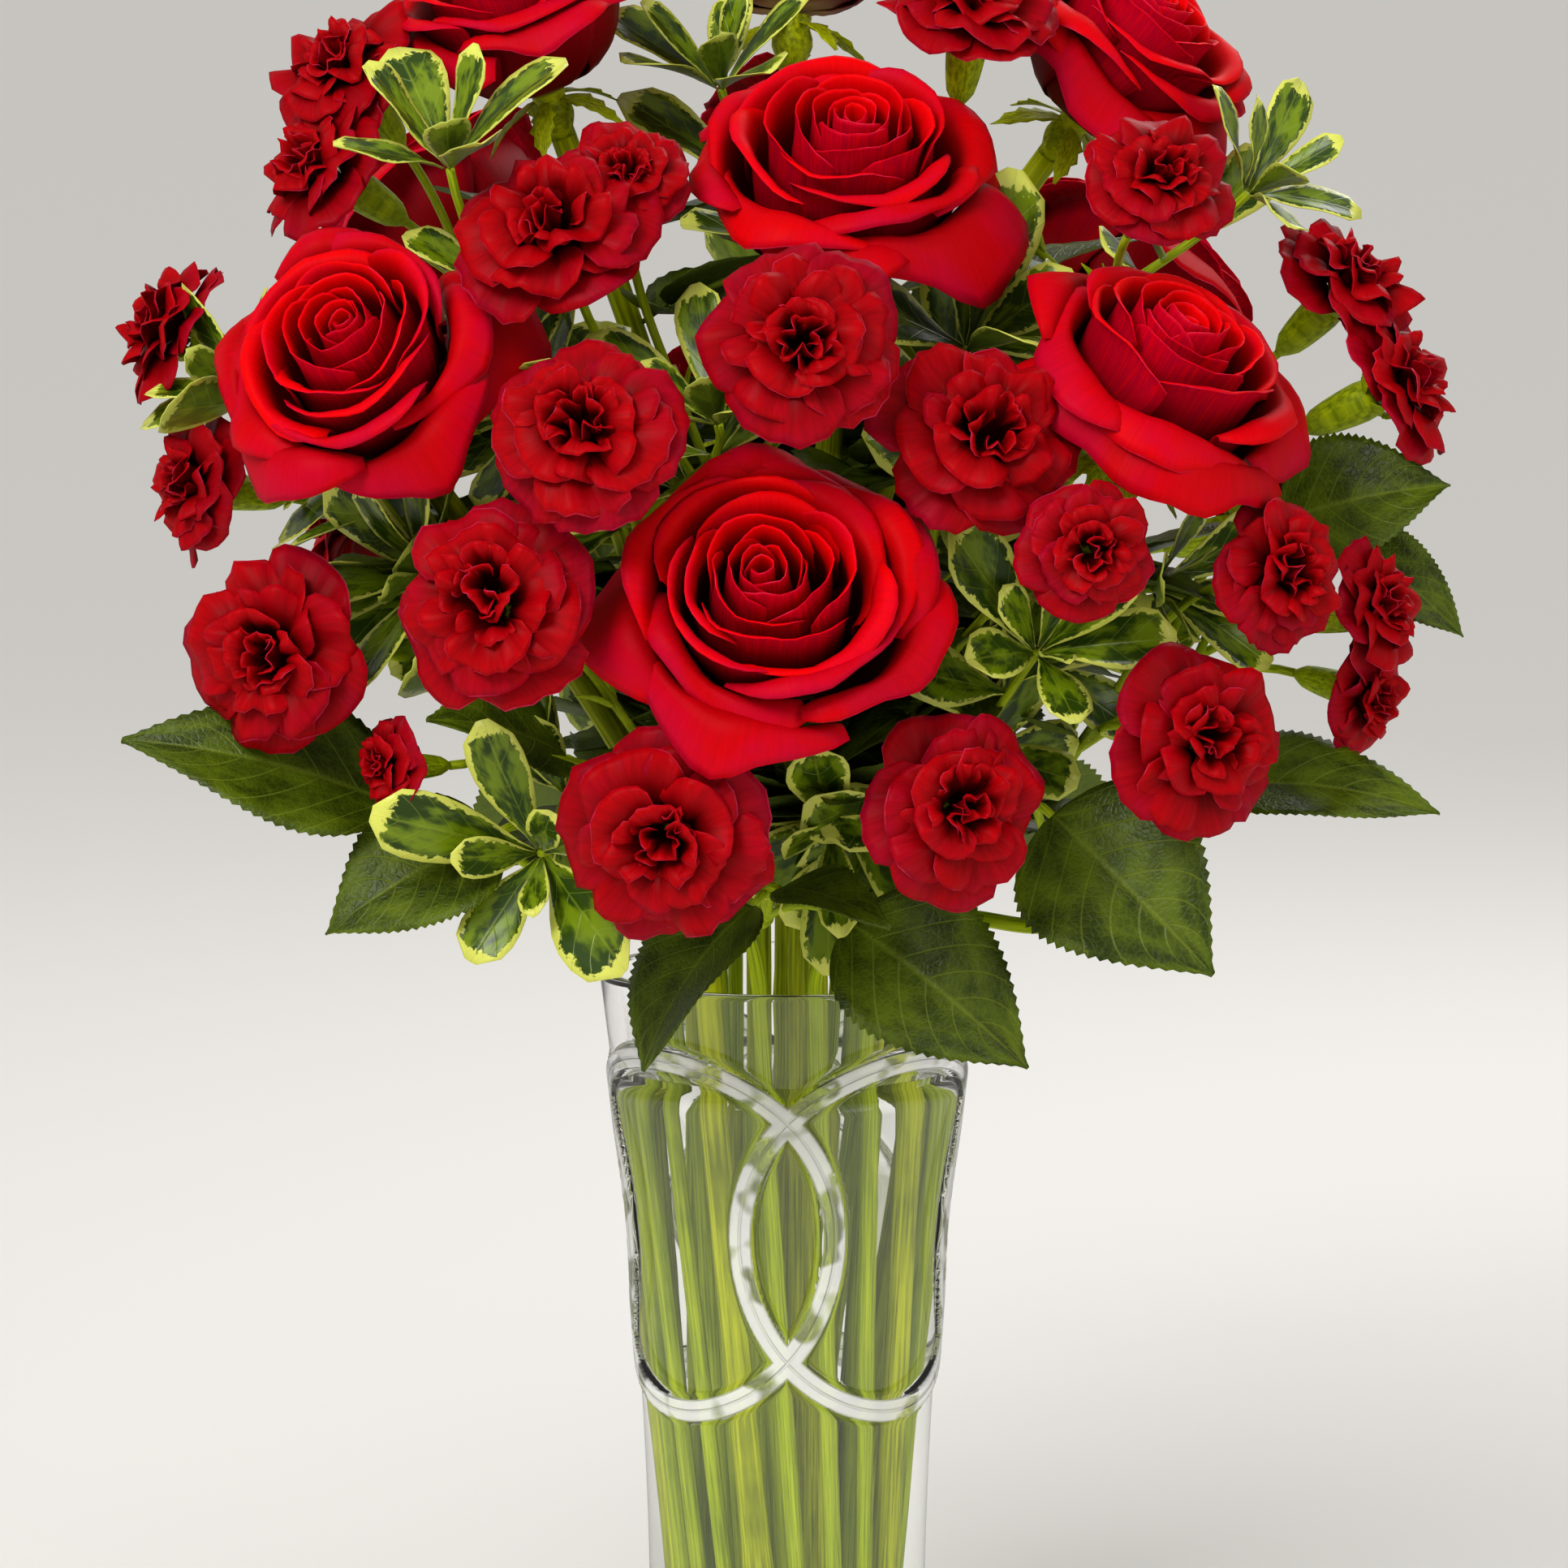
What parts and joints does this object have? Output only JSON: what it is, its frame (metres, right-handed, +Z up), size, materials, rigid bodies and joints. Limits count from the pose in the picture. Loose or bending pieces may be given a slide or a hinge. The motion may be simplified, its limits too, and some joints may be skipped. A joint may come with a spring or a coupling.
{
  "type": "vase of cut roses",
  "caption": "Bouquet of red roses and red spray carnations with variegated and serrated green leaves, standing in water in a clear flared glass vase.",
  "frame": {"origin": "middle of the flat underside of the vase's foot", "axes": "+Z up, out of the vase's mouth; the bouquet's front looks along -Y; +X is to the right seen from the front"},
  "size_m": [0.3271, 0.2864, 0.4665],
  "materials": {
    "glass": "polished",
    "water": "polished",
    "rose_petal": "satin",
    "rose_stem": "satin",
    "carnation_petal": "matte",
    "carnation_stem": "matte",
    "variegated_leaf": "satin",
    "broad_leaf": "satin"
  },
  "bodies": {
    "root": {"vase": "glass", "water": "water", "rose_bloom_front": "rose_petal", "rose_stem_front": "rose_stem", "rose_bloom_centre": "rose_petal", "rose_stem_centre": "rose_stem", "rose_bloom_left": "rose_petal", "rose_stem_left": "rose_stem", "rose_bloom_right": "rose_petal", "rose_stem_right": "rose_stem", "rose_bloom_upper_left": "rose_petal", "rose_stem_upper_left": "rose_stem", "rose_bloom_upper_right": "rose_petal", "rose_stem_upper_right": "rose_stem", "rose_bloom_top": "rose_petal", "rose_stem_top": "rose_stem", "rose_bloom_back_left": "rose_petal", "rose_stem_back_left": "rose_stem", "rose_bloom_back_right": "rose_petal", "rose_stem_back_right": "rose_stem", "carnation_stem_upper_left": "carnation_stem", "carnation_stem_lower_left": "carnation_stem", "carnation_stem_front_left": "carnation_stem", "carnation_stem_upper_front": "carnation_stem", "carnation_stem_front_right": "carnation_stem", "carnation_stem_lower_right": "carnation_stem", "carnation_stem_upper_right": "carnation_stem", "carnation_stem_back": "carnation_stem", "carnation_upper_left_pair": "carnation_petal", "carnation_far_left": "carnation_petal", "carnation_left_side": "carnation_petal", "carnation_left_front": "carnation_petal", "carnation_left_bud": "carnation_petal", "carnation_over_front_left": "carnation_petal", "carnation_beside_front_left": "carnation_petal", "carnation_under_front_left": "carnation_petal", "carnation_upper_pair": "carnation_petal", "carnation_middle": "carnation_petal", "carnation_beside_front_right": "carnation_petal", "carnation_under_front_right": "carnation_petal", "carnation_small_right": "carnation_petal", "carnation_right_front": "carnation_petal", "carnation_right_middle": "carnation_petal", "carnation_far_right_pair": "carnation_petal", "carnation_right_side_pair": "carnation_petal", "carnation_upper_right": "carnation_petal", "carnation_upper_middle": "carnation_petal", "carnation_back_middle": "carnation_petal", "carnation_back_lower_pair": "carnation_petal", "carnation_back_side_left": "carnation_petal", "carnation_back_side_right": "carnation_petal", "variegated_sprig_upper_left": "variegated_leaf", "variegated_sprig_upper_right": "variegated_leaf", "variegated_sprig_front_right": "variegated_leaf", "variegated_sprig_left": "variegated_leaf", "variegated_sprig_back": "variegated_leaf", "broadleaf_branch_left": "broad_leaf", "broadleaf_branch_front": "broad_leaf", "broadleaf_branch_right": "broad_leaf", "broadleaf_branch_back": "broad_leaf"}
  },
  "joints": []
}
